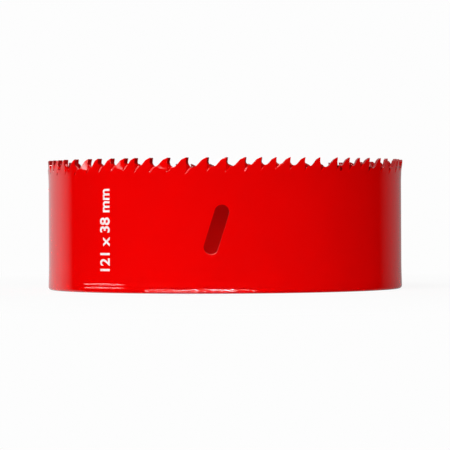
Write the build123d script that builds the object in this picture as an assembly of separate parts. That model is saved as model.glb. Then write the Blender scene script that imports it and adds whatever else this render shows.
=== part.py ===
from build123d import *
import os
from math import cos, degrees, radians, sin, sqrt, tan

# Cup-shaped hole saw that stands on its closed base with the teeth up.
# Millimetres, +Z towards the teeth, origin on the axis in the plane of the base.
# Azimuths are degrees from +X, counter-clockwise seen from above.

# ---- cup ----
HEIGHT = 43.6  # base to tooth tips
BODY_RADIUS = 59.9  # outside of the rolled wall
WALL = 1.25
BASE_CORNER = 1.0  # size of the rounding of the outside bottom edge
CORNER_STEPS = 3  # facets the rounding is made of
BASE_SWELL = 0.18  # how far the wall stands out where the plate is welded in
SWELL_END = 9.0  # height above which the wall is straight
WELD_GROOVE = 0.3  # chamfer of the plate's edge at the joint in the base

# ---- teeth ----
# Tip-to-tip distances along the rim for one third of the turn, seam first.
PITCHES = [
    5.45, 4.05, 7.3, 6.5, 6.75, 5.8, 5.3, 5.1, 4.35, 5.25, 5.85,
    6.3, 6.6, 6.1, 5.9, 5.2, 5.0, 4.5, 5.25, 5.8, 6.3, 5.5,
]
PATTERN_REPEATS = 3
TOOTH_SET = 0.6  # sideways lean of a set tip
SET_ORDER = [0, -1, 1]  # straight, inward, outward, and so on
RAKE_ANGLE = 8.0
LAND_LENGTH = 1.6  # shallow relief behind the tip
LAND_ANGLE = 25.0
BACK_ANGLE = 47.0  # slope from the land down to the gullet
DEPTH_PER_PITCH = 0.5
DEEPEST_GULLET = 3.4
RAKE_SHARE = 0.65  # part of the depth over which the rake is straight
BACK_RISE = 0.5  # height above the floor at which the straight back begins
GULLET_FACETS = 3  # chords that the round floor is made of
GULLET_SKEW = 25.0  # gullets run across the wall at this angle from square
BAND_UNDER_GULLETS = 0.6  # plain wall kept under the deepest gullet in each tooth

# ---- seam of the rolled strip ----
SEAM_AZIMUTH = -51.3
FIRST_TIP_AFTER_SEAM = 4.1  # degrees past the seam
PIT_DIAMETER = 1.1  # small void left in the seam weld under its gullet
PIT_DEPTH = 0.8
PIT_BELOW_TIPS = 3.7

# ---- plug-ejection slots ----
SLOT_COUNT = 3
SLOT_AZIMUTH = -92.6
SLOT_LENGTH = 16.4
SLOT_WIDTH = 4.7
SLOT_TILT = 17.5  # top leans the way the teeth point
SLOT_CENTRE = 20.5  # height of its middle

# ---- base plate ----
PLATE_THICKNESS = 5.5
THREAD_MAJOR = 15.875  # 5/8 in arbor thread
THREAD_PITCH = 25.4 / 18
PIN_HOLE_DIAMETER = 6.6
PIN_CIRCLE = 27.0
PIN_COUNT = 2
PIN_CHAMFER = 0.4

# ---- values worked out from the above ----
INNER_RADIUS = BODY_RADIUS - WALL
MIDDLE_RADIUS = BODY_RADIUS - WALL / 2
BAND_HEIGHT = HEIGHT - DEEPEST_GULLET - BAND_UNDER_GULLETS
CUT_MARGIN = 1.0  # how far a cutter runs past the wall
THREAD_BORE = THREAD_MAJOR - THREAD_PITCH  # bored ready for the thread
THREAD_CHAMFER = (THREAD_MAJOR - THREAD_BORE) / 2  # opens both mouths to the full thread
LAND_DROP = LAND_LENGTH * tan(radians(LAND_ANGLE))
RAKE_SLOPE = tan(radians(RAKE_ANGLE))
SKEW_SLOPE = tan(radians(GULLET_SKEW))
SKEW_REACH = SKEW_SLOPE * (WALL / 2 + TOOTH_SET)  # furthest a skewed edge strays along the rim
BACK_SLOPE = tan(radians(BACK_ANGLE))


def turned(outline, arc=360.0):
    """Solid swept about the axis by an outline of (radius, height) points."""
    return revolve(Plane.XZ * make_face(outline), Axis.Z, revolution_arc=arc)


def tooth_azimuths():
    """Azimuth of each tip, and the pitch that follows it, round the whole rim."""
    degrees_per_mm = 360.0 / PATTERN_REPEATS / sum(PITCHES)
    azimuth = SEAM_AZIMUTH + FIRST_TIP_AFTER_SEAM
    tips = []
    for pitch in PITCHES * PATTERN_REPEATS:
        tips.append((azimuth, pitch))
        azimuth += pitch * degrees_per_mm
    return tips


def gullet_depth(pitch):
    return min(pitch * DEPTH_PER_PITCH, DEEPEST_GULLET)


def back_start(pitch, depth):
    """Distance from a tip to where the next tooth's back meets the gullet floor."""
    return pitch - LAND_LENGTH - (depth - LAND_DROP) / BACK_SLOPE


def wall_plane(azimuth, radius, height):
    """Plane facing outwards, its x along the rim and its y up."""
    turn = radians(azimuth)
    outward = Vector(cos(turn), sin(turn), 0)
    along = Vector(-sin(turn), cos(turn), 0)
    return Plane(origin=outward * radius + Vector(0, 0, height), x_dir=along, z_dir=outward)


def gullet_plane(azimuth, pitch, radius):
    """Wall plane with its origin beside a tip, slid along the rim as the skew asks."""
    half_turn = degrees(pitch / MIDDLE_RADIUS / 2)
    slide = -pitch / 2 - (radius - MIDDLE_RADIUS) * SKEW_SLOPE
    return Plane(wall_plane(azimuth + half_turn, radius, HEIGHT) * Pos(slide, 0))


def gullet_cutter(azimuth, pitch):
    """Skewed prism that takes the gullet out between a tip and the next one."""
    depth = gullet_depth(pitch)
    rake_foot = (-RAKE_SHARE * depth * RAKE_SLOPE, -RAKE_SHARE * depth)
    back_foot = (back_start(pitch, depth) + BACK_RISE, -depth + BACK_RISE)
    rake_side = sqrt(depth + rake_foot[1])
    share = rake_side / (rake_side + sqrt(BACK_RISE))
    floor = (rake_foot[0] + share * (back_foot[0] - rake_foot[0]), -depth)
    above = CUT_MARGIN
    arc = ThreePointArc(rake_foot, floor, back_foot)
    outline = Polyline(
        *[arc @ (n / GULLET_FACETS) for n in range(GULLET_FACETS + 1)],
        (pitch - LAND_LENGTH, -LAND_DROP),
        (pitch, 0),
        (pitch, above),
        (above * RAKE_SLOPE, above),
        close=True,
    )
    reach = WALL / 2 + TOOTH_SET + CUT_MARGIN
    plane = gullet_plane(azimuth, pitch, MIDDLE_RADIUS - reach)
    across = plane.z_dir - plane.x_dir * SKEW_SLOPE
    return extrude(plane * make_face(outline), amount=2 * reach * across.length, dir=across)


def tooth_blank(start, end, bend_depth, lean):
    """Stretch of rim wall from azimuth start to end that leans from its bend line up."""
    bend = HEIGHT - bend_depth
    section = Polyline(
        (INNER_RADIUS, BAND_HEIGHT),
        (BODY_RADIUS, BAND_HEIGHT),
        (BODY_RADIUS, bend),
        (BODY_RADIUS + lean, HEIGHT),
        (INNER_RADIUS + lean, HEIGHT),
        (INNER_RADIUS, bend),
        close=True,
    )
    blank = turned(section, end - start)
    return Rot(0, 0, start) * blank


def teeth():
    """Every tooth as its own blank less the gullets in front of it and behind it."""
    tips = tooth_azimuths()
    cutters = []
    splits = []
    for azimuth, pitch in tips:
        depth = gullet_depth(pitch)
        middle = (back_start(pitch, depth) - depth * RAKE_SLOPE) / 2
        cutters.append(gullet_cutter(azimuth, pitch))
        splits.append(azimuth + degrees(max(middle, 1.1 * SKEW_REACH) / MIDDLE_RADIUS))
    made = []
    for index in range(len(tips)):
        start = splits[index - 1]
        if index == 0:
            start -= 360.0
        bend_depth = min(gullet_depth(tips[index - 1][1]), gullet_depth(tips[index][1]))
        lean = SET_ORDER[index % len(SET_ORDER)] * TOOTH_SET
        blank = tooth_blank(start, splits[index], bend_depth, lean)
        made.append(blank - cutters[index - 1] - cutters[index])
    return made


def wall():
    """Rolled strip up to the root of the teeth."""
    swollen = BODY_RADIUS + BASE_SWELL
    corner = min(BASE_CORNER, 0.9 * (WALL + BASE_SWELL))
    turns = [radians(90 * step / CORNER_STEPS) for step in range(CORNER_STEPS + 1)]
    section = Polyline(
        (INNER_RADIUS, BAND_HEIGHT),
        (BODY_RADIUS, BAND_HEIGHT),
        (BODY_RADIUS, SWELL_END),
        *[(swollen - corner * (1 - cos(turn)), corner * (1 - sin(turn))) for turn in turns],
        (INNER_RADIUS, 0),
        close=True,
    )
    return turned(section)


def slot_cutter(azimuth):
    start = BODY_RADIUS - WALL - CUT_MARGIN
    plane = wall_plane(azimuth, start, SLOT_CENTRE)
    outline = plane * SlotOverall(SLOT_LENGTH, SLOT_WIDTH, rotation=90 - SLOT_TILT)
    return extrude(outline, amount=WALL + 2 * CUT_MARGIN)


def seam_pit():
    plane = wall_plane(SEAM_AZIMUTH, BODY_RADIUS - PIT_DEPTH, HEIGHT - PIT_BELOW_TIPS)
    return extrude(plane * Circle(PIT_DIAMETER / 2), amount=PIT_DEPTH + CUT_MARGIN)


def toothed_ring():
    """Rolled, welded and toothed strip: the saw's whole side."""
    slots = [slot_cutter(SLOT_AZIMUTH + 360.0 / SLOT_COUNT * n) for n in range(SLOT_COUNT)]
    ring = wall() - slots
    ring = ring.fuse(*teeth()).clean()
    return ring - seam_pit()


def base_plate():
    """Thick disc welded into the bottom of the strip, drilled for the arbor."""
    bore = THREAD_BORE / 2
    section = Polyline(
        (bore, THREAD_CHAMFER),
        (bore + THREAD_CHAMFER, 0),
        (INNER_RADIUS - WELD_GROOVE, 0),
        (INNER_RADIUS, WELD_GROOVE),
        (INNER_RADIUS, PLATE_THICKNESS),
        (bore + THREAD_CHAMFER, PLATE_THICKNESS),
        (bore, PLATE_THICKNESS - THREAD_CHAMFER),
        close=True,
    )
    plate = turned(section)
    hole = PIN_HOLE_DIAMETER / 2
    profile = Polyline(
        (0, -CUT_MARGIN),
        (hole + PIN_CHAMFER + CUT_MARGIN, -CUT_MARGIN),
        (hole, PIN_CHAMFER),
        (hole, PLATE_THICKNESS + CUT_MARGIN),
        (0, PLATE_THICKNESS + CUT_MARGIN),
        close=True,
    )
    drill = turned(profile)
    return plate - [place * drill for place in PolarLocations(PIN_CIRCLE / 2, PIN_COUNT)]


os.makedirs("parts", exist_ok=True)
export_step(toothed_ring(), "parts/toothed_ring.step")
export_step(base_plate(), "parts/base_plate.step")
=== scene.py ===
"""Dressed model of a painted hole saw that stands on its base with the teeth up.

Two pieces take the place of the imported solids: the rolled, toothed and slotted ring, and the
thick base plate with its real arbor thread. A printed size in millimetres rides on the ring.
"""

from __future__ import annotations

import logging
import math
from collections.abc import Callable, Iterable, Iterator, Sequence
from contextlib import contextmanager
from dataclasses import dataclass, field
from enum import Enum

import bpy
import numpy as np
from mathutils import Matrix, Vector, noise

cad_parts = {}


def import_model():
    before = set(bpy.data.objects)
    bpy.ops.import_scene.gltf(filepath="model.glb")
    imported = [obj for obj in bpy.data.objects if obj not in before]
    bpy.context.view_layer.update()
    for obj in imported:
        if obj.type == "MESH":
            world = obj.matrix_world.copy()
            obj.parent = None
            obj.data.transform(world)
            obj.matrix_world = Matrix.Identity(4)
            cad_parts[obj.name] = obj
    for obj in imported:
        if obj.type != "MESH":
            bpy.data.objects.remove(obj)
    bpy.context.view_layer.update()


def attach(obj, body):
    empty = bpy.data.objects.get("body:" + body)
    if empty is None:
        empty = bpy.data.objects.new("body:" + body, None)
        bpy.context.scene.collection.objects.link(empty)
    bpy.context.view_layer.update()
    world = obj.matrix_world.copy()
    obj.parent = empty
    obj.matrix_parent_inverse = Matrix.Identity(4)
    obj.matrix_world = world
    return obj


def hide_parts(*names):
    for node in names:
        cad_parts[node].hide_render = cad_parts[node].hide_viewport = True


LOG = logging.getLogger("hole_saw")
MM = 0.001
TURN = 2.0 * math.pi

Point = tuple[float, float]
Colour = tuple[float, float, float]
ShaderNode = bpy.types.ShaderNode
Socket = bpy.types.NodeSocket


# ---- modelling helpers


def deselect_all() -> None:
    """Leave edit mode and clear the selection."""
    if bpy.context.object is not None and bpy.context.object.mode != "OBJECT":
        bpy.ops.object.mode_set(mode="OBJECT")
    bpy.ops.object.select_all(action="DESELECT")


def pick(obj: bpy.types.Object) -> None:
    """Make one object the only selected and active one."""
    deselect_all()
    obj.select_set(True)
    bpy.context.view_layer.objects.active = obj


@contextmanager
def editing(obj: bpy.types.Object) -> Iterator[None]:
    """Edit mode on one object with all of its mesh selected."""
    pick(obj)
    bpy.ops.object.mode_set(mode="EDIT")
    bpy.ops.mesh.select_all(action="SELECT")
    try:
        yield
    finally:
        bpy.ops.object.mode_set(mode="OBJECT")


def get_points(obj: bpy.types.Object) -> np.ndarray:
    """Vertex positions of a mesh object, one row each."""
    values = np.zeros(len(obj.data.vertices) * 3)
    obj.data.vertices.foreach_get("co", values)
    return values.reshape(-1, 3)


def set_points(obj: bpy.types.Object, points: np.ndarray) -> None:
    """Write vertex positions back to a mesh object."""
    obj.data.vertices.foreach_set("co", np.ascontiguousarray(points, float).ravel())
    obj.data.update()


def tidy_mesh(obj: bpy.types.Object, distance: float = 1e-7) -> None:
    """Merge doubles and point every face outwards.

    Args:
        obj: the mesh object.
        distance: how near two vertices are to be one, in metres.
    """
    with editing(obj):
        bpy.ops.mesh.remove_doubles(threshold=distance)
        bpy.ops.mesh.normals_make_consistent(inside=False)


def apply_modifiers(obj: bpy.types.Object) -> None:
    """Apply every modifier in its order."""
    pick(obj)
    for modifier in list(obj.modifiers):
        bpy.ops.object.modifier_apply(modifier=modifier.name)


def subtract(target: bpy.types.Object, cutter: bpy.types.Object) -> None:
    """Cut one closed mesh out of another and delete the cutter."""
    modifier = target.modifiers.new("Cut", "BOOLEAN")
    modifier.operation = "DIFFERENCE"
    modifier.solver = "EXACT"
    modifier.object = cutter
    apply_modifiers(target)
    bpy.data.objects.remove(cutter)


def join(objects: Sequence[bpy.types.Object]) -> bpy.types.Object:
    """Join mesh objects into the first one."""
    pick(objects[0])
    for obj in objects[1:]:
        obj.select_set(True)
    bpy.ops.object.join()
    return bpy.context.object


def duplicate(obj: bpy.types.Object, placing: Matrix) -> bpy.types.Object:
    """Copy an object with its own mesh and move that mesh."""
    twin = obj.copy()
    twin.data = obj.data.copy()
    bpy.context.scene.collection.objects.link(twin)
    twin.data.transform(placing)
    return twin


def smooth_by_angle(obj: bpy.types.Object, degrees: float) -> None:
    """Smooth shading that breaks at edges sharper than an angle."""
    pick(obj)
    bpy.ops.object.shade_smooth_by_angle(angle=math.radians(degrees))


def outline_loop(name: str, points: Sequence[Point], filled: bool = False) -> bpy.types.Object:
    """Circle primitive whose vertices are moved onto a closed outline in the XZ plane.

    Args:
        name: the new object's name.
        points: the outline's (x, z) points in millimetres.
        filled: whether the outline carries a face.

    Returns:
        The new object.
    """
    deselect_all()
    bpy.ops.mesh.primitive_circle_add(
        vertices=len(points), radius=MM, fill_type="NGON" if filled else "NOTHING"
    )
    obj = bpy.context.object
    obj.name = name
    set_points(obj, np.array([(x, 0.0, z) for x, z in points]) * MM)
    return obj


def spin_round_axis(obj: bpy.types.Object, columns: int) -> None:
    """Turn a section loop into a closed ring about the Z axis."""
    with editing(obj):
        bpy.ops.mesh.spin(
            steps=columns, angle=TURN, center=(0.0, 0.0, 0.0), axis=(0.0, 0.0, 1.0)
        )
    tidy_mesh(obj)


def round_corners(points: Sequence[Point], radii: Sequence[float], steps: int) -> list[Point]:
    """Replace corners of a closed outline with arcs.

    Args:
        points: the outline's corners.
        radii: the arc's radius at each corner, 0 to keep it sharp.
        steps: chords in each arc.

    Returns:
        The outline with its arcs.
    """
    made: list[Point] = []
    count = len(points)
    for index, (corner, radius) in enumerate(zip(points, radii)):
        if radius <= 0.0:
            made.append(corner)
            continue
        here = Vector(corner)
        before = (Vector(points[index - 1]) - here).normalized()
        after = (Vector(points[(index + 1) % count]) - here).normalized()
        half = before.angle(after) / 2.0
        centre = here + (before + after).normalized() * radius / math.sin(half)
        start = here + before * radius / math.tan(half) - centre
        end = here + after * radius / math.tan(half) - centre
        sweep = start.angle(end)
        side = 1.0 if start.cross(end) > 0.0 else -1.0
        for step in range(steps + 1):
            turn = side * sweep * step / steps
            spoke = Matrix.Rotation(turn, 2) @ start
            made.append((centre.x + spoke.x, centre.y + spoke.y))
    return made


def arc_through(start: Point, lowest: Point, end: Point, steps: int) -> list[Point]:
    """Points on the circle through three points, from the first to the last."""
    (ax, ay), (bx, by), (cx, cy) = start, lowest, end
    d = 2.0 * (ax * (by - cy) + bx * (cy - ay) + cx * (ay - by))
    a2, b2, c2 = ax * ax + ay * ay, bx * bx + by * by, cx * cx + cy * cy
    ux = (a2 * (by - cy) + b2 * (cy - ay) + c2 * (ay - by)) / d
    uy = (a2 * (cx - bx) + b2 * (ax - cx) + c2 * (bx - ax)) / d
    radius = math.hypot(ax - ux, ay - uy)
    first = math.atan2(ay - uy, ax - ux)
    last = math.atan2(cy - uy, cx - ux)
    if last < first:
        last += TURN
    turns = [first + (last - first) * step / steps for step in range(steps + 1)]
    return [(ux + radius * math.cos(turn), uy + radius * math.sin(turn)) for turn in turns]


def wall_place(azimuth: float, spot: Sequence[float]) -> Matrix:
    """Turn a spot, in millimetres and at the front of the wall, to an azimuth in degrees."""
    turn = Matrix.Rotation(math.radians(azimuth + 90.0), 4, "Z")
    return turn @ Matrix.Translation(Vector(spot) * MM)


def smoothstep(values: np.ndarray) -> np.ndarray:
    """Ease from 0 to 1, clamped at both ends."""
    clipped = np.clip(values, 0.0, 1.0)
    return clipped * clipped * (3.0 - 2.0 * clipped)


def box_reach(points: np.ndarray, box_x: float, box_y: float) -> np.ndarray:
    """Furthest radius, in millimetres, at which each point is still inside a box.

    Args:
        points: vertex positions in metres.
        box_x: half the box's width in millimetres.
        box_y: half the box's depth in millimetres.

    Returns:
        One radius for each point.
    """
    radius = np.hypot(points[:, 0], points[:, 1])
    across = np.maximum(np.abs(points[:, 0]) / radius, 1e-6)
    along = np.maximum(np.abs(points[:, 1]) / radius, 1e-6)
    return np.minimum(box_x / across, box_y / along)


# ---- finishes


class NodeTree:
    """Small wrapper for writing shader nodes."""

    def __init__(self, tree: bpy.types.NodeTree) -> None:
        """Clear the tree and keep it."""
        self.tree = tree
        tree.nodes.clear()

    @classmethod
    def for_material(cls, name: str) -> tuple[bpy.types.Material, NodeTree]:
        """New material and its empty tree."""
        material = bpy.data.materials.new(name)
        material.use_nodes = True
        return material, cls(material.node_tree)

    def add(self, kind: str, **settings: object) -> ShaderNode:
        """New node with properties set.

        Args:
            kind: the node's type name.
            settings: property names and their values.

        Returns:
            The node.
        """
        node = self.tree.nodes.new(kind)
        for key, value in settings.items():
            setattr(node, key, value)
        return node

    def link(self, source: Socket, target: Socket) -> None:
        """Join two sockets."""
        self.tree.links.new(source, target)

    def output(self, kind: str, shader: Socket) -> None:
        """Join a shader to a new output node of a kind."""
        self.link(shader, self.add(kind).inputs["Surface"])

    def object_coords(self) -> Socket:
        """Coordinates that stay with the piece."""
        return self.add("ShaderNodeTexCoord").outputs["Object"]

    def feed(self, target: Socket, value: Socket | float | Sequence[float]) -> None:
        """Link a socket or set a constant."""
        if isinstance(value, bpy.types.NodeSocket):
            self.link(value, target)
        else:
            target.default_value = value

    def math(self, operation: str, *values: Socket | float) -> Socket:
        """Math node's result."""
        node = self.add("ShaderNodeMath", operation=operation)
        for socket, value in zip(node.inputs, values):
            self.feed(socket, value)
        return node.outputs[0]

    def ramp(self, value: Socket, stops: Sequence[tuple[float, float]]) -> Socket:
        """Grey colour ramp over (position, level) stops."""
        node = self.add("ShaderNodeValToRGB")
        elements = node.color_ramp.elements
        while len(elements) < len(stops):
            elements.new(0.5)
        for element, (position, level) in zip(elements, stops):
            element.position = position
            element.color = (level, level, level, 1.0)
        self.link(value, node.inputs[0])
        return node.outputs[0]

    def noise(self, coords: Socket, scale: float, detail: float = 2.0) -> Socket:
        """Noise texture's grey value, the scale in cells per metre."""
        node = self.add("ShaderNodeTexNoise")
        node.inputs["Scale"].default_value = scale
        node.inputs["Detail"].default_value = detail
        self.link(coords, node.inputs["Vector"])
        return node.outputs["Fac"]

    def mix_colour(
        self, factor: Socket | float, first: Socket | Sequence[float], second: Sequence[float]
    ) -> Socket:
        """Blend of two colours, the second at a factor of 1."""
        node = self.add("ShaderNodeMix", data_type="RGBA")
        self.feed(node.inputs["Factor"], factor)
        self.feed(node.inputs["A"], first)
        self.feed(node.inputs["B"], second)
        return node.outputs["Result"]


@dataclass(frozen=True)
class GlossPaint:
    """Sprayed gloss paint over steel, with a faint orange peel and a little dust."""

    name: str = "red_gloss_paint"
    colour: Colour = (0.82, 0.0001, 0.0001)
    thin_colour: Colour = (0.78, 0.0001, 0.0001)
    dust_colour: Colour = (0.95, 0.30, 0.28)
    drift_scale: float = 55.0
    dust_cells: float = 95.0
    dust_size: float = 0.022
    dust_rarity: float = 0.62
    dust_cover: float = 0.45
    dust_roughness: float = 0.4
    roughness: float = 0.07
    gloss_scale: float = 260.0
    gloss_spread: float = 0.05
    gloss_lift: float = 0.02
    shine: float = 0.5
    peel_scale: float = 420.0
    peel_height: float = 0.0000025
    edge_radius: float = 0.00012

    def build(self) -> bpy.types.Material:
        """The paint's material."""
        material, t = NodeTree.for_material(self.name)
        coords = t.object_coords()
        drift = t.ramp(t.noise(coords, self.drift_scale, 3.0), [(0.35, 0.0), (0.75, 1.0)])
        paint = t.mix_colour(drift, (*self.colour, 1.0), (*self.thin_colour, 1.0))
        cells = t.add("ShaderNodeTexVoronoi", feature="F1")
        cells.inputs["Scale"].default_value = self.dust_cells
        t.link(coords, cells.inputs["Vector"])
        speck = t.math("LESS_THAN", cells.outputs["Distance"], self.dust_size)
        chance = t.add("ShaderNodeSeparateColor")
        t.link(cells.outputs["Color"], chance.inputs[0])
        kept = t.math("GREATER_THAN", chance.outputs[0], self.dust_rarity)
        dust = t.math("MULTIPLY", t.math("MULTIPLY", speck, kept), self.dust_cover)
        colour = t.mix_colour(dust, paint, (*self.dust_colour, 1.0))
        shader = t.add("ShaderNodeBsdfPrincipled")
        shader.inputs["Specular IOR Level"].default_value = self.shine
        t.link(colour, shader.inputs["Base Color"])
        cloud = t.noise(coords, self.gloss_scale)
        base = self.roughness - self.gloss_lift
        gloss = t.math("MULTIPLY_ADD", cloud, self.gloss_spread, base)
        rough = t.math("MULTIPLY_ADD", dust, self.dust_roughness, gloss)
        t.link(rough, shader.inputs["Roughness"])
        edge = t.add("ShaderNodeBevel", samples=6)
        edge.inputs["Radius"].default_value = self.edge_radius
        bump = t.add("ShaderNodeBump")
        bump.inputs["Strength"].default_value = 1.0
        bump.inputs["Distance"].default_value = self.peel_height
        t.link(t.noise(coords, self.peel_scale, 1.0), bump.inputs["Height"])
        t.link(edge.outputs["Normal"], bump.inputs["Normal"])
        t.link(bump.outputs["Normal"], shader.inputs["Normal"])
        t.output("ShaderNodeOutputMaterial", shader.outputs["BSDF"])
        return material


def shaded_inside_paint() -> GlossPaint:
    """Duller coat for the inside of the cup and the cut faces, its red darkened as painted shade
    there.
    """
    return GlossPaint(
        name="red_paint_with_painted_shade",
        # darker red: painted shade for the inside of the cup and the shaded cut faces
        colour=(0.34, 0.0001, 0.0001),
        thin_colour=(0.29, 0.0001, 0.0001),
        roughness=0.25,
        shine=0.25,
    )


@dataclass(frozen=True)
class PrintInk:
    """White pad-printed ink, a little thin in places."""

    name: str = "white_print_ink"
    colour: Colour = (0.86, 0.80, 0.80)
    thin_colour: Colour = (0.90, 0.60, 0.60)
    roughness: float = 0.45
    wear_roughness: float = 0.2
    wear_scale: float = 900.0

    def build(self) -> bpy.types.Material:
        """The ink's material."""
        material, t = NodeTree.for_material(self.name)
        coords = t.object_coords()
        wear = t.ramp(t.noise(coords, self.wear_scale, 4.0), [(0.52, 0.0), (0.75, 1.0)])
        colour = t.mix_colour(wear, (*self.colour, 1.0), (*self.thin_colour, 1.0))
        shader = t.add("ShaderNodeBsdfPrincipled")
        t.link(colour, shader.inputs["Base Color"])
        rough = t.math("MULTIPLY_ADD", wear, self.wear_roughness, self.roughness)
        t.link(rough, shader.inputs["Roughness"])
        t.output("ShaderNodeOutputMaterial", shader.outputs["BSDF"])
        return material


# ---- the saw's pieces


class Set(Enum):
    """Which way a tooth leans."""

    STRAIGHT = 0
    INWARD = -1
    OUTWARD = 1


@dataclass
class ToothRow:
    """Places and shapes of the teeth round the rim, in millimetres and degrees."""

    pitches: tuple[float, ...] = (
        5.45, 4.05, 7.3, 6.5, 6.75, 5.8, 5.3, 5.1, 4.35, 5.25, 5.85,
        6.3, 6.6, 6.1, 5.9, 5.2, 5.0, 4.5, 5.25, 5.8, 6.3, 5.5,
    )
    repeats: int = 3
    middle_radius: float = 59.275
    half_wall: float = 0.625
    tips_height: float = 43.6
    first_tip: float = -47.2
    order: tuple[Set, ...] = (Set.STRAIGHT, Set.INWARD, Set.OUTWARD)
    lean: float = 0.6
    bend_depth: float = 3.7
    heel_share: float = 0.35
    rake_slope: float = math.tan(math.radians(8.0))
    rake_length: float = 1.5
    land_length: float = 1.6
    land_slope: float = math.tan(math.radians(25.0))
    back_slope: float = math.tan(math.radians(47.0))
    depth_per_pitch: float = 0.5
    deepest: float = 3.4
    back_rise: float = 0.5
    skew_slope: float = math.tan(math.radians(25.0))
    tip_rounding: float = 0.1
    tip_lead: float = 1.6
    shoulder_rounding: float = 1.2
    corner_chords: int = 5
    floor_chords: int = 10
    margin: float = 1.0
    nick_depth: float = 1.5
    nick_width: float = 1.15
    nick_lift: float = 0.06
    nick_before: Point = (0.2, 0.3)  # how far its top and foot lie before the tip
    nick_point: Point = (0.2, 0.84)  # where it runs out in the bore, in gullet depths
    nick_grow: float = 1.6  # carries the cutter's open end clear of the wall
    nick_blunt: float = 0.02
    crease_width: float = 0.38
    crease_slope: float = math.tan(math.radians(20.0))
    crease_before: float = 0.42
    crease_spare: float = 0.15
    furthest_out: float = 0.5  # no point of a tooth moves out by more
    bend_power: float = 1.15
    bell: float = 0.14
    bell_start: float = 36.0
    bell_end: float = 40.6
    flare: float = 0.12
    flare_reach: float = 1.8
    flare_centre: float = 0.45
    flare_half: float = 0.9
    box_x: float = 60.27  # half of the box that set teeth and weld beads stay inside
    box_y: float = 60.16

    @property
    def land_drop(self) -> float:
        """How far the land falls behind a tip."""
        return self.land_length * self.land_slope

    def tips(self) -> list[tuple[float, float]]:
        """Azimuth of each tip and the pitch that follows it."""
        per_mm = 360.0 / self.repeats / sum(self.pitches)
        azimuth = self.first_tip
        made = []
        for pitch in self.pitches * self.repeats:
            made.append((azimuth, pitch))
            azimuth += pitch * per_mm
        return made

    def depth(self, pitch: float) -> float:
        """Depth of the gullet after a tooth."""
        return min(pitch * self.depth_per_pitch, self.deepest)

    def back_start(self, pitch: float) -> float:
        """Distance from a tip to where the next tooth's back leaves the floor."""
        return pitch - self.land_length - (self.depth(pitch) - self.land_drop) / self.back_slope

    def gullet_outline(self, pitch: float) -> list[Point]:
        """Closed outline of what is cut away between two tips, the tip at the origin."""
        depth = self.depth(pitch)
        foot = (-self.rake_length * self.rake_slope, -self.rake_length)
        rise = min(self.back_rise, depth - self.land_drop)
        back = (self.back_start(pitch) + rise, rise - depth)
        share = math.sqrt(depth - self.rake_length)
        share /= share + math.sqrt(rise)
        lowest = (foot[0] + share * (back[0] - foot[0]), -depth)
        floor = arc_through(foot, lowest, back, self.floor_chords)
        lead = -self.tip_lead * self.tip_rounding
        corners = [
            (lead, self.margin),
            (lead, lead * self.land_slope),
            (0.0, 0.0),
            *floor,
            (pitch - self.land_length, -self.land_drop),
            (pitch, 0.0),
            (pitch, self.margin),
        ]
        radii = [0.0] * len(corners)
        radii[2] = self.tip_rounding
        radii[-3] = self.shoulder_rounding
        return round_corners(corners, radii, self.corner_chords)

    def placing(self, azimuth: float, pitch: float) -> Matrix:
        """Place of a flat gullet outline on the rim, at the middle of the wall."""
        half_turn = math.degrees(pitch / self.middle_radius / 2.0)
        spot = (-pitch / 2.0, -self.middle_radius, self.tips_height)
        return wall_place(azimuth + half_turn, spot)

    def gullet_cutter(self, azimuth: float, pitch: float) -> bpy.types.Object:
        """Skewed prism for one gullet."""
        obj = outline_loop("gullet", self.gullet_outline(pitch), filled=True)
        reach = (self.half_wall + self.lean + self.margin) * MM
        across = Vector((-self.skew_slope, -1.0, 0.0)) * reach
        with editing(obj):
            bpy.ops.transform.translate(value=-across)
            bpy.ops.mesh.extrude_region_move(TRANSFORM_OT_translate={"value": across * 2.0})
        tidy_mesh(obj)
        obj.data.transform(self.placing(azimuth, pitch))
        return obj

    def nick_cutter(self, azimuth: float, pitch: float) -> bpy.types.Object:
        """Pyramid for the groove that the rake leaves outside, below its gullet."""
        depth = self.depth(pitch)
        slide = self.half_wall * self.skew_slope
        past, down = self.nick_point
        deep = Vector((past * depth + slide, self.half_wall, -down * depth))
        upper, lower = self.nick_before
        wide = [
            (-upper, -self.rake_length),
            (-lower, -depth - self.nick_depth),
            (self.nick_width, -depth + self.nick_lift),
        ]
        deselect_all()
        bpy.ops.mesh.primitive_cone_add(vertices=3, radius1=MM, depth=MM)
        obj = bpy.context.object
        corners = [Vector((x - slide, -self.half_wall, y)) for x, y in wide]
        corners = [deep + (corner - deep) * self.nick_grow for corner in corners]
        points = get_points(obj)
        apex = int(np.argmax(points[:, 2]))
        others = [index for index in range(4) if index != apex]
        for index, corner in zip(others, corners):
            points[index] = corner * MM
        points[apex] = (deep + (deep - corners[0]) * self.nick_blunt) * MM
        set_points(obj, points)
        tidy_mesh(obj)
        obj.data.transform(self.placing(azimuth, pitch))
        return obj

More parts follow.
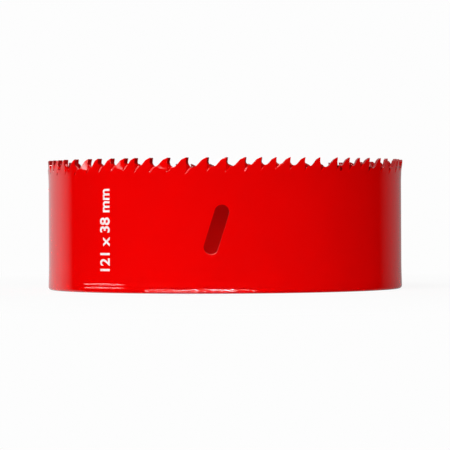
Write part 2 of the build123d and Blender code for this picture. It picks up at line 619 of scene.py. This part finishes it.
    def crease_cutter(self, azimuth: float, pitch: float) -> bpy.types.Object:
        """Wedge that bevels the wall beside the lower edge of a nick."""
        depth = self.depth(pitch)
        slide = self.half_wall * self.skew_slope
        spare = self.crease_spare
        foot = -depth - self.nick_depth - spare
        low = Vector((-self.crease_before - slide, -self.half_wall, foot))
        high = Vector((self.nick_width - slide, -self.half_wall, -depth + self.nick_lift))
        middle = (low + high) / 2.0
        along = (high - low).normalized()
        inward = Vector((0.0, 1.0, 0.0))
        side = along.cross(inward)
        section = [
            -side * (self.crease_width + spare) - inward * spare * self.crease_slope,
            side * spare + inward * (self.crease_width + spare) * self.crease_slope,
            side * spare - inward * self.crease_width,
        ]
        deselect_all()
        bpy.ops.mesh.primitive_cylinder_add(vertices=3, radius=1.0, depth=1.0)
        obj = bpy.context.object
        points = get_points(obj)
        turns = np.arctan2(points[:, 1], points[:, 0])
        corner = np.searchsorted(np.unique(np.round(turns, 3)), np.round(turns, 3))
        start = Vector((low.x - middle.x, -self.half_wall, low.z))
        for index, row in enumerate(points):
            length = (high - low).length if row[2] > 0.0 else 0.0
            points[index] = (start + along * length + section[corner[index]]) * MM
        set_points(obj, points)
        tidy_mesh(obj)
        past = pitch / 2.0 / self.middle_radius
        past += (middle.x - pitch / 2.0) / (self.middle_radius + self.half_wall)
        obj.data.transform(self.placing(azimuth + math.degrees(past), 0.0))
        return obj

    def all_round(
        self, make: Callable[[float, float], bpy.types.Object], chosen: Iterable[int]
    ) -> bpy.types.Object:
        """Cutters for chosen teeth of the pattern, repeated round the rim and joined."""
        tips = self.tips()
        first = join([make(*tips[index]) for index in chosen])
        turns = [
            Matrix.Rotation(TURN * n / self.repeats, 4, "Z") for n in range(1, self.repeats)
        ]
        return join([first, *[duplicate(first, turn) for turn in turns]])

    def set_teeth(self, points: np.ndarray) -> np.ndarray:
        """Bell the rim a little, flare the gullets and lean each tooth in or out.

        Args:
            points: vertex positions in metres.

        Returns:
            The new positions.
        """
        radius = np.hypot(points[:, 0], points[:, 1]) / MM
        azimuth = np.degrees(np.arctan2(points[:, 1], points[:, 0]))
        skew = (radius - self.middle_radius) * self.skew_slope / self.middle_radius
        azimuth = azimuth + np.degrees(skew)
        edges, pitches = np.array(self.tips()).T
        azimuth = (azimuth - edges[0]) % 360.0 + edges[0]
        leans = np.array([self.order[n % len(self.order)].value for n in range(len(edges))])
        index = np.searchsorted(edges, azimuth, side="right") - 1
        past = np.radians(azimuth - edges[index]) * self.middle_radius
        gap = np.array([self.back_start(pitch) for pitch in pitches])[index]
        span = pitches[index] - gap
        heel = self.heel_share
        across = smoothstep(past / gap)
        along = heel + (1.0 - heel) * smoothstep((past - gap) / span)
        behind = leans[index] * (1.0 - across)
        following = (index + 1) % len(edges)
        ahead = leans[following] * np.where(past < gap, heel * across, along)
        lean = behind + ahead
        bend = self.tips_height - self.bend_depth
        up = np.clip((points[:, 2] / MM - bend) / self.bend_depth, 0.0, 1.0)
        climb = smoothstep((past - gap) / span)
        depths = np.array([self.depth(pitch) for pitch in pitches])
        floors = depths[index] * (1.0 - climb) + depths[following] * climb
        below = self.tips_height - floors - points[:, 2] / MM
        under = smoothstep(1.0 - np.maximum(below, 0.0) / self.flare_reach)
        aside = np.abs(past - gap * self.flare_centre)
        beside = smoothstep(1.0 - aside / (gap * self.flare_half))
        rise = (points[:, 2] / MM - self.bell_start) / (self.bell_end - self.bell_start)
        shift = lean * self.lean * up**self.bend_power + self.flare * under * beside
        shift = np.minimum(shift + self.bell * smoothstep(rise), self.furthest_out)
        shift = np.minimum(shift, box_reach(points, self.box_x, self.box_y) - radius)
        factor = (radius + shift) / radius
        moved = points.copy()
        moved[:, 0] *= factor
        moved[:, 1] *= factor
        return moved


@dataclass(frozen=True)
class WeldBead:
    """Ridge round part of the foot, or a hollow where the rise is below 0, in mm and degrees."""

    start: float
    end: float
    height: float
    half_width: float
    rise: float
    wander: float
    taper: float = 6.0  # degrees over which each end runs out
    lumpiness: float = 0.7

    def push(self, around: float, level: float, lump: float, drift: float) -> float:
        """How far out the bead carries a point.

        Args:
            around: azimuth of the point from the front, positive to the right.
            level: height of the point.
            lump: fine noise there, from -1 to 1.
            drift: coarse noise there, from -1 to 1.

        Returns:
            The distance in millimetres.
        """
        if not self.start < around < self.end:
            return 0.0
        edge = min(around - self.start, self.end - around) / self.taper
        across = abs(level - self.height - self.wander * drift) / self.half_width
        if across >= 1.0:
            return 0.0
        ridge = (1.0 - across * across) ** 2
        return self.rise * ridge * min(edge, 1.0) * (1.0 + self.lumpiness * lump)


@dataclass
class ToothedRing:
    """Rolled strip with its teeth, slots and seam, in millimetres and degrees."""

    outer_radius: float = 59.9
    wall: float = 1.25
    swell: float = 0.18
    swell_end: float = 9.0
    corner: float = 1.0
    corner_chords: int = 8
    columns: int = 720
    bead_rows: tuple[float, float, float] = (1.15, 3.3, 0.15)
    swell_rows: tuple[float, ...] = (4.2, 5.5, 7.0)
    wall_rows: tuple[float, ...] = (15.0, 22.0, 29.0, 35.0)
    bore_rows: tuple[float, ...] = (20.0, 35.0)
    bell_rows: tuple[float, ...] = (36.0, 36.9, 37.7, 38.4, 39.0, 39.5)
    bend_rows: tuple[float, ...] = (-0.05, 0.03)
    tooth_rows: tuple[float, ...] = (40.3, 40.8, 41.4, 42.0, 42.6, 43.1)
    slot_count: int = 3
    slot_azimuth: float = -92.6
    slot_length: float = 16.4
    slot_width: float = 4.7
    slot_tilt: float = 17.5
    slot_centre: float = 20.5
    slot_chords: int = 64
    slot_reach: float = 6.0
    seam_azimuth: float = -51.3
    pit_below_tips: float = 3.7
    pit_radius: float = 0.6
    pit_stretch: tuple[float, float, float] = (1.0, 1.2, 1.15)
    pit_lumps: float = 0.25
    pit_grain: float = 1.7
    drawn_height: float = 7.5
    drawn_skin: float = 1.1  # the bore behind this is left alone
    drawn_push: float = 0.05
    drawn_bias: float = 0.35
    drawn_grain: float = 0.12
    lump_grain: float = 2.3
    drift_grain: float = 0.35
    bore_facing: float = -0.7
    cut_facing: float = 0.6
    wrapped_foot: float = 2.0
    merge_distance: float = 2e-7
    smooth_angle: float = 17.0
    teeth: ToothRow = field(default_factory=ToothRow)
    beads: tuple[WeldBead, ...] = (
        WeldBead(-27.0, 14.0, 0.50, 0.50, 0.24, 0.2),
        WeldBead(-27.0, 14.0, 1.40, 0.70, -0.18, 0.2),
        WeldBead(-52.0, -31.0, 1.45, 0.40, 0.08, 0.15),
        WeldBead(-52.0, -31.0, 2.60, 0.40, 0.08, 0.25),
    )

    @property
    def inner_radius(self) -> float:
        """Radius of the bore."""
        return self.outer_radius - self.wall

    def section(self) -> list[Point]:
        """Closed outline of the wall as (radius, height)."""
        swollen = self.outer_radius + self.swell
        bend = self.teeth.tips_height - self.teeth.bend_depth
        tops = [*self.bell_rows, *[bend + row for row in self.bend_rows], *self.tooth_rows]
        tops.append(self.teeth.tips_height)
        outer = []
        for step in range(self.corner_chords + 1):
            turn = math.radians(90.0 * step / self.corner_chords)
            height = self.corner * (1.0 - math.cos(turn))
            outer.append((swollen - self.corner * (1.0 - math.sin(turn)), height))
        for height in (*np.arange(*self.bead_rows), *self.swell_rows):
            part = (height - self.corner) / (self.swell_end - self.corner)
            eased = float(smoothstep(np.array(part)))
            outer.append((swollen - self.swell * eased, height))
        outer.append((self.outer_radius, self.swell_end))
        outer += [(self.outer_radius, height) for height in (*self.wall_rows, *tops)]
        inner = [(self.inner_radius, height) for height in reversed((*self.bore_rows, *tops))]
        return [*outer, *inner, (self.inner_radius, 0.0)]

    def slot_cutter(self) -> bpy.types.Object:
        """Stadium prisms for the slots, joined."""
        made = []
        for number in range(self.slot_count):
            azimuth = self.slot_azimuth + 360.0 / self.slot_count * number
            deselect_all()
            bpy.ops.mesh.primitive_cylinder_add(
                vertices=self.slot_chords,
                radius=self.slot_width / 2 * MM,
                depth=self.slot_reach * MM,
            )
            obj = bpy.context.object
            points = get_points(obj)
            stretch = (self.slot_length - self.slot_width) / 2 * MM
            points[:, 1] += np.sign(np.round(points[:, 1], 9)) * stretch
            set_points(obj, points)
            lean = Matrix.Rotation(math.radians(-self.slot_tilt), 4, "Z")
            stand = Matrix.Rotation(math.radians(90.0), 4, "X")
            place = wall_place(azimuth, (0.0, -self.outer_radius, self.slot_centre))
            obj.data.transform(place @ stand @ lean)
            made.append(obj)
        return join(made)

    def pit_cutter(self) -> bpy.types.Object:
        """Lumpy void in the seam weld under its gullet."""
        deselect_all()
        bpy.ops.mesh.primitive_ico_sphere_add(subdivisions=3, radius=self.pit_radius * MM)
        obj = bpy.context.object
        points = get_points(obj)
        for row in points:
            row *= 1.0 + self.pit_lumps * noise.noise(Vector(row) / MM * self.pit_grain)
        set_points(obj, points * np.array(self.pit_stretch))
        height = self.teeth.tips_height - self.pit_below_tips
        obj.data.transform(wall_place(self.seam_azimuth, (0.0, -self.outer_radius, height)))
        return obj

    def weld_ripple(self, points: np.ndarray) -> np.ndarray:
        """Draw the foot of the wall into beads, hollows and ripples, as the plate's weld does.

        Args:
            points: vertex positions in metres.

        Returns:
            The new positions.
        """
        radius = np.hypot(points[:, 0], points[:, 1]) / MM
        height = points[:, 2] / MM
        skin = radius > self.outer_radius - self.drawn_skin
        chosen = np.flatnonzero((height < self.drawn_height) & skin)
        reach = box_reach(points, self.teeth.box_x, self.teeth.box_y)
        moved = points.copy()
        for index in chosen:
            around = math.degrees(math.atan2(points[index, 1], points[index, 0])) + 90.0
            spot = Vector(points[index]) / MM
            lump = noise.noise(spot * self.lump_grain)
            drift = noise.noise(spot * self.drift_grain)
            level = height[index]
            fade = math.sin(math.pi * level / self.drawn_height)
            ripple = noise.noise(spot * self.drawn_grain) - self.drawn_bias
            push = self.drawn_push * ripple * fade
            for bead in self.beads:
                push += bead.push(around, level, lump, drift)
            push = min(push, reach[index] - radius[index])
            moved[index, :2] *= 1.0 + push / radius[index]
        return moved

    def build(self) -> bpy.types.Object:
        """The finished ring."""
        ring = outline_loop("toothed_ring_painted", self.section())
        spin_round_axis(ring, self.columns)
        numbers = range(len(self.teeth.pitches))
        for remainder in (0, 1):
            chosen = [number for number in numbers if number % 2 == remainder]
            subtract(ring, self.teeth.all_round(self.teeth.gullet_cutter, chosen))
        subtract(ring, self.teeth.all_round(self.teeth.nick_cutter, numbers))
        subtract(ring, self.teeth.all_round(self.teeth.crease_cutter, numbers))
        subtract(ring, self.slot_cutter())
        subtract(ring, self.pit_cutter())
        tidy_mesh(ring, self.merge_distance)
        points = self.teeth.set_teeth(get_points(ring))
        set_points(ring, self.weld_ripple(points))
        smooth_by_angle(ring, self.smooth_angle)
        return ring

    def coat_with_painted_shade(self, ring: bpy.types.Object) -> None:
        """Put the second finish, red darkened as painted shade, on the ring's inside and on its
        cut faces.

        Args:
            ring: the ring, with two finishes.
        """
        for face in ring.data.polygons:
            out = Vector((face.center.x, face.center.y, 0.0)).normalized()
            facing = face.normal.dot(out)
            cut = facing < self.cut_facing and face.center.z > self.wrapped_foot * MM
            # bore faces and cut faces above the foot take the painted shade coat
            if facing < self.bore_facing or cut:
                face.material_index = 1


@dataclass
class BasePlate:
    """Thick drilled and tapped disc welded into the foot of the ring, in millimetres."""

    radius: float = 58.65
    thickness: float = 5.5
    groove: float = 0.3
    groove_mouth: float = 0.4
    groove_lip: float = 0.06
    groove_floor: float = 0.1
    fillet: float = 1.1
    fillet_chords: int = 6
    flat_rings: tuple[float, ...] = (20.0, 40.0)
    thread_major: float = 15.875
    thread_pitch: float = 25.4 / 18.0
    thread_bed: float = 0.15
    thread_flank: float = 0.49
    thread_chords: int = 96
    mouth_skin: float = 0.05
    pin_hole: float = 6.6
    pin_circle: float = 27.0
    pin_count: int = 2
    pin_chamfer: float = 0.4
    pin_columns: int = 48
    margin: float = 1.0
    columns: int = 360
    smooth_angle: float = 32.0

    def disc(self) -> bpy.types.Object:
        """The disc bored to the thread's full diameter."""
        bore = self.thread_major / 2.0
        top = self.thickness
        size = self.fillet
        weld = []
        for step in range(self.fillet_chords + 1):
            turn = math.radians(90.0 / self.fillet_chords * step)
            rise = size * (1.0 - math.cos(turn))
            weld.append((self.radius - size + size * math.sin(turn), top + rise))
        joint = self.radius - self.groove
        points = [
            (bore, 0.0),
            *[(ring, 0.0) for ring in self.flat_rings],
            (joint - self.groove_mouth, 0.0),
            (joint, self.groove_lip),
            (self.radius - self.groove_floor, self.groove),
            (self.radius, self.groove),
            (self.radius, top),
            *reversed(weld),
            *[(ring, top) for ring in reversed(self.flat_rings)],
            (bore, top),
        ]
        obj = outline_loop("base_plate_painted", points)
        spin_round_axis(obj, self.columns)
        return obj

    def pin_drill(self) -> bpy.types.Object:
        """Drills with chamfers for the pin holes, joined."""
        hole = self.pin_hole / 2.0
        wide = hole + self.pin_chamfer + self.margin
        top = self.thickness + self.margin
        outline = [
            (0.0, -self.margin),
            (wide, -self.margin),
            (hole, self.pin_chamfer),
            (hole, self.thickness - self.pin_chamfer),
            (wide, top),
            (0.0, top),
        ]
        first = outline_loop("pin_drill", outline)
        spin_round_axis(first, self.pin_columns)
        made = []
        for number in range(self.pin_count):
            turn = TURN * number / self.pin_count
            spot = Vector((math.cos(turn), math.sin(turn), 0.0)) * self.pin_circle / 2 * MM
            made.append(duplicate(first, Matrix.Translation(spot)))
        bpy.data.objects.remove(first)
        return join(made)

    def thread(self) -> bpy.types.Object:
        """Ridge of the arbor thread as one coil that runs out at both chamfered mouths."""
        crest = (self.thread_major - self.thread_pitch) / 2.0
        root = self.thread_major / 2.0 + self.thread_bed
        pitch = self.thread_pitch
        flat, flank = pitch / 8.0, pitch * self.thread_flank
        low = -0.5 * pitch
        outline = [(root, low - flank), (crest, low - flat)]
        outline += [(crest, low + flat), (root, low + flank)]
        coil = outline_loop("thread_coil", outline)
        modifier = coil.modifiers.new("Turns", "SCREW")
        modifier.axis = "Z"
        modifier.angle = TURN
        modifier.screw_offset = pitch * MM
        modifier.iterations = math.ceil(self.thickness / pitch) + 1
        modifier.steps = modifier.render_steps = self.thread_chords
        apply_modifiers(coil)
        points = get_points(coil) / MM
        radius = np.hypot(points[:, 0], points[:, 1])
        inside = np.minimum(points[:, 2], self.thickness - points[:, 2])
        mouth = self.thread_major / 2.0 + self.mouth_skin - inside
        wanted = np.minimum(np.maximum(radius, mouth), root)
        points[:, :2] *= (wanted / radius)[:, None]
        points[:, 2] = np.clip(points[:, 2], self.mouth_skin, self.thickness - self.mouth_skin)
        set_points(coil, points * MM)
        with editing(coil):
            bpy.ops.mesh.fill_holes(sides=4)
            bpy.ops.mesh.normals_make_consistent(inside=False)
        return coil

    def build(self) -> bpy.types.Object:
        """The finished plate."""
        disc = self.disc()
        subtract(disc, self.pin_drill())
        plate = join([disc, self.thread()])
        plate.name = "base_plate_painted"
        smooth_by_angle(plate, self.smooth_angle)
        return plate


@dataclass
class SizeMark:
    """Printed nominal size that reads upwards on the wall, in millimetres and degrees."""

    words: str = "121 x 38 mm"
    azimuth: float = -130.5
    middle_height: float = 20.4
    length: float = 26.6
    letter_height: float = 4.25
    wall_radius: float = 59.9
    lift: float = 0.004
    thickness: float = 0.03
    draft_size: float = 10.0
    stroke_gain: float = 0.2
    slices: int = 14

    def build(self) -> bpy.types.Object:
        """The finished mark."""
        deselect_all()
        bpy.ops.object.text_add()
        text = bpy.context.object
        text.name = "printed_size"
        text.data.body = self.words
        text.data.size = self.draft_size * MM
        text.data.offset = self.stroke_gain * MM
        text.data.extrude = self.thickness * MM
        text.data.resolution_u = 6
        pick(text)
        bpy.ops.object.convert(target="MESH")
        points = get_points(text)
        low, high = points.min(axis=0), points.max(axis=0)
        scale = np.array([self.length, self.letter_height, self.thickness]) * MM / (high - low)
        points = (points - (low + high) / 2.0) * scale
        set_points(text, points)
        tidy_mesh(text)
        half = self.letter_height / 2.0
        for number in range(1, self.slices):
            level = -half + self.letter_height * number / self.slices
            with editing(text):
                bpy.ops.mesh.bisect(plane_co=(0.0, level * MM, 0.0), plane_no=(0.0, 1.0, 0.0))
        points = get_points(text)
        out = points[:, 2] - points[:, 2].min() + self.wall_radius * MM + self.lift * MM
        turn = math.radians(self.azimuth) - points[:, 1] / (self.wall_radius * MM)
        height = points[:, 0] + self.middle_height * MM
        set_points(text, np.stack([out * np.cos(turn), out * np.sin(turn), height], axis=1))
        tidy_mesh(text)
        return text


# ---- studio


@dataclass(frozen=True)
class Card:
    """Bright card that only gloss mirrors: its level, and its share of that over each way.

    The stops of across run in degrees from straight behind, those of rise in a ray's upward part.
    """

    level: float
    across: tuple[Point, ...]
    rise: tuple[Point, ...]


@dataclass
class Studio:
    """Camera, lamp, floor and surroundings, in metres and degrees, the floor's gap in mm."""

    lens: float = 215.1
    distance: float = 0.916
    eye_height: float = 0.026
    pitch_down: float = 0.273
    roll: float = -0.27
    aim_height: float = 0.02
    white: float = 0.982
    floor_radius: float = 0.32
    floor_gap: float = 0.05
    floor_fade: tuple[Point, ...] = ((0.10, 0.92), (0.24, 1.0))
    fill: float = 0.40
    fill_slope: float = -0.06
    sheet: tuple[Point, ...] = (
        (-63.0, 0.0), (-56.0, 0.35), (-46.0, 0.60), (-10.0, 0.62), (0.0, 0.45),
        (12.0, 0.30), (27.0, 0.24), (41.0, 0.18), (52.0, 0.09), (61.0, 0.0),
    )
    shade_across: tuple[Point, ...] = ((0.5, 0.0), (0.56, 1.0))
    shade_rise: tuple[Point, ...] = ((0.06, 0.0), (0.14, 0.85))
    cards: tuple[Card, ...] = (
        Card(
            2.0,
            ((-100.0, 0.0), (-93.0, 1.0), (-72.0, 1.0), (-66.0, 0.0)),
            ((0.20, 0.0), (0.24, 1.0), (0.32, 1.0), (0.35, 0.0)),
        ),
        Card(
            16.0,
            (
                (-142.0, 0.0), (-134.0, 1.0), (-120.0, 1.0), (-117.0, 0.25),
                (-109.0, 0.25), (-106.0, 1.0), (-90.0, 1.0), (-84.0, 0.4),
                (-66.0, 0.4), (-56.0, 0.0),
            ),
            ((0.08, 0.0), (0.11, 1.0), (0.18, 1.0), (0.22, 0.0)),
        ),
        Card(
            80.0,
            ((-142.0, 1.0), (-128.0, 0.0), (160.0, 0.0), (176.0, 1.0)),
            ((0.46, 0.0), (0.49, 1.0), (0.56, 1.0), (0.60, 0.0)),
        ),
    )

    def camera(self) -> None:
        """Camera in front of the saw, a little above its middle, and all but level."""
        data = bpy.data.cameras.new("camera")
        data.sensor_width = 36.0
        data.lens = self.lens
        data.clip_start = 0.01
        data.clip_end = 100.0
        camera = bpy.data.objects.new("camera", data)
        bpy.context.scene.collection.objects.link(camera)
        aim = Matrix.Rotation(math.radians(90.0 - self.pitch_down), 4, "X")
        tip = Matrix.Rotation(math.radians(self.roll), 4, "Z")
        spot = Matrix.Translation((0.0, -self.distance, self.eye_height))
        camera.matrix_world = spot @ aim @ tip
        bpy.context.scene.camera = camera

    def key_lamp(
        self, azimuth: float, elevation: float, distance: float, size: Point, power: float
    ) -> None:
        """Soft area lamp aimed at the saw.

        Args:
            azimuth: degrees from the camera's side, positive to the right.
            elevation: degrees above the floor.
            distance: metres from the saw.
            size: width and height in metres.
            power: watts.
        """
        data = bpy.data.lights.new("key", "AREA")
        data.shape = "RECTANGLE"
        data.size, data.size_y = size
        data.energy = power
        lamp = bpy.data.objects.new("key", data)
        lamp.visible_glossy = False
        bpy.context.scene.collection.objects.link(lamp)
        turn, rise = math.radians(azimuth), math.radians(elevation)
        level = math.cos(rise)
        away = Vector((math.sin(turn) * level, -math.cos(turn) * level, math.sin(rise)))
        spot = away * distance + Vector((0.0, 0.0, self.aim_height))
        facing = away.to_track_quat("Z", "Y").to_matrix().to_4x4()
        lamp.matrix_world = Matrix.Translation(spot) @ facing

    def mirrored(self, t: NodeTree, place: Socket, height: Socket) -> Socket:
        """Level of what only gloss mirrors: a sheet, shaded on the right, and the cards.

        Args:
            t: the world's tree.
            place: the ray's azimuth as a share of a turn, straight behind at a half.
            height: the upward part of the ray's direction.

        Returns:
            The level.
        """
        sheet = t.ramp(place, [(0.5 + angle / 360.0, level) for angle, level in self.sheet])
        right = t.ramp(place, self.shade_across)
        shade = t.math("MULTIPLY", right, t.ramp(height, self.shade_rise))
        shown = t.math("MULTIPLY", sheet, t.math("SUBTRACT", 1.0, shade))
        for card in self.cards:
            across = t.ramp(place, [(0.5 + angle / 360.0, level) for angle, level in card.across])
            rise = t.ramp(height, card.rise)
            bright = t.math("MULTIPLY", across, t.math("MULTIPLY", rise, card.level))
            shown = t.math("ADD", shown, bright)
        return shown

    def world(self) -> None:
        """White backdrop for the camera, sheet and cards for gloss, and a soft fill."""
        world = bpy.data.worlds.new("studio")
        world.use_nodes = True
        world.cycles.sampling_method = "NONE"
        bpy.context.scene.world = world
        t = NodeTree(world.node_tree)
        way = t.add("ShaderNodeSeparateXYZ")
        t.link(t.add("ShaderNodeTexCoord").outputs["Generated"], way.inputs[0])
        path = t.add("ShaderNodeLightPath")
        swing = t.math("ARCTAN2", way.outputs["X"], way.outputs["Y"])
        place = t.math("MULTIPLY_ADD", swing, 0.5 / math.pi, 0.5)
        fill = t.math("MULTIPLY_ADD", way.outputs["X"], self.fill_slope, self.fill)
        shown = self.mirrored(t, place, way.outputs["Z"])
        glossy = t.math("MULTIPLY", shown, path.outputs["Is Glossy Ray"])
        plain = t.math("SUBTRACT", 1.0, path.outputs["Is Glossy Ray"])
        level = t.math("MULTIPLY_ADD", fill, plain, glossy)
        seen = t.math("SUBTRACT", 1.0, path.outputs["Is Camera Ray"])
        level = t.math("MULTIPLY", level, seen)
        level = t.math("MULTIPLY_ADD", path.outputs["Is Camera Ray"], self.white, level)
        background = t.add("ShaderNodeBackground")
        background.inputs["Color"].default_value = (1.0, 1.0, 1.0, 1.0)
        t.link(level, background.inputs["Strength"])
        t.output("ShaderNodeOutputWorld", background.outputs[0])

    def floor(self) -> None:
        """White floor that keeps a faint shadow and fades into the backdrop."""
        deselect_all()
        bpy.ops.mesh.primitive_circle_add(
            vertices=96,
            radius=self.floor_radius,
            fill_type="NGON",
            location=(0.0, 0.0, -self.floor_gap * MM),
        )
        floor = bpy.context.object
        floor.name = "floor"
        material, t = NodeTree.for_material("floor_white")
        path = t.add("ShaderNodeLightPath")
        away = t.add("ShaderNodeVectorMath", operation="LENGTH")
        t.link(t.object_coords(), away.inputs[0])
        fade = t.ramp(away.outputs["Value"], self.floor_fade)
        matt = t.add("ShaderNodeBsdfDiffuse")
        matt.inputs["Color"].default_value = (0.8, 0.8, 0.8, 1.0)
        glow = t.add("ShaderNodeEmission")
        glow.inputs["Strength"].default_value = self.white
        mix = t.add("ShaderNodeMixShader")
        t.link(t.math("MULTIPLY", path.outputs["Is Camera Ray"], fade), mix.inputs[0])
        t.link(matt.outputs[0], mix.inputs[1])
        t.link(glow.outputs[0], mix.inputs[2])
        seen = t.add("ShaderNodeMixShader")
        t.link(path.outputs["Is Glossy Ray"], seen.inputs[0])
        t.link(mix.outputs[0], seen.inputs[1])
        t.link(t.add("ShaderNodeBsdfTransparent").outputs[0], seen.inputs[2])
        t.output("ShaderNodeOutputMaterial", seen.outputs[0])
        floor.data.materials.append(material)

    def build(self) -> None:
        """The whole studio."""
        self.camera()
        self.key_lamp(azimuth=-27.0, elevation=52.0, distance=1.4, size=(0.7, 0.5), power=15.5)
        self.world()
        self.floor()
        bpy.context.scene.view_settings.view_transform = "Standard"


def dress(piece: bpy.types.Object, materials: Sequence[bpy.types.Material]) -> None:
    """Give a piece its finish and put it on the saw's body.

    Args:
        piece: the finished mesh object.
        materials: what it is made to look like, the main finish first.
    """
    piece.data.materials.clear()
    for material in materials:
        piece.data.materials.append(material)
    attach(piece, "root")
    LOG.info("%s: %d faces", piece.name, len(piece.data.polygons))


def main() -> None:
    """Build and dress every piece, then the studio."""
    logging.basicConfig(level=logging.INFO, format="%(name)s: %(message)s")
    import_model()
    paint = GlossPaint().build()
    # second finish: its darker red is painted shade for the inside and the cut faces
    shade_coat = shaded_inside_paint().build()

    saw_ring = ToothedRing()
    ring = saw_ring.build()
    dress(ring, [paint, shade_coat])
    saw_ring.coat_with_painted_shade(ring)
    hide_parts("toothed_ring")

    plate = BasePlate().build()
    dress(plate, [paint])
    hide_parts("base_plate")

    mark = SizeMark().build()
    dress(mark, [PrintInk().build()])

    Studio().build()


if __name__ == "__main__":
    main()
